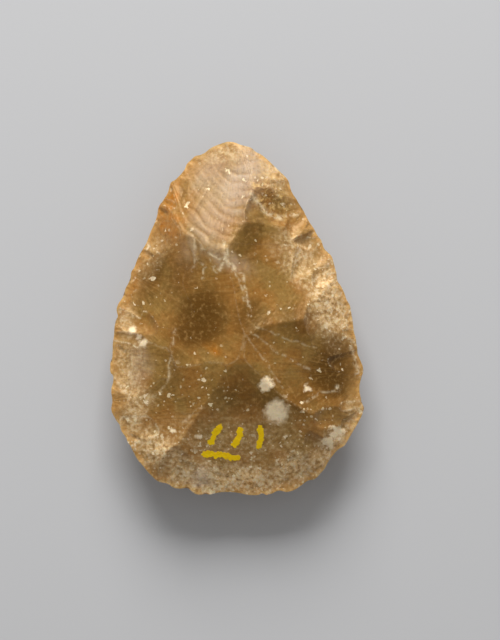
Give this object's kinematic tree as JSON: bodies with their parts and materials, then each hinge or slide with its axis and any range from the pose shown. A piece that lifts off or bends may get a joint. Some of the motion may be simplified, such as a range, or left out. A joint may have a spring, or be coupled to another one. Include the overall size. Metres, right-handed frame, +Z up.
{
  "type": "hand axe",
  "caption": "Knapped stone hand axe: a pear-shaped flint biface, flaked over both faces, with a rounded tip and a sharp edge all round.",
  "frame": {"origin": "bottom centre of the bounding box, on the surface that the axe lies on", "axes": "+Y towards the tip, along the axe's length; +Z up, through its thickness, out of the worked front face; +X across its width"},
  "size_m": [0.0618, 0.086, 0.025],
  "materials": {
    "flint": "glossy honey-brown flint with pale patina and cream inclusions"
  },
  "bodies": {
    "root": {"hand_axe": "flint"}
  },
  "joints": []
}
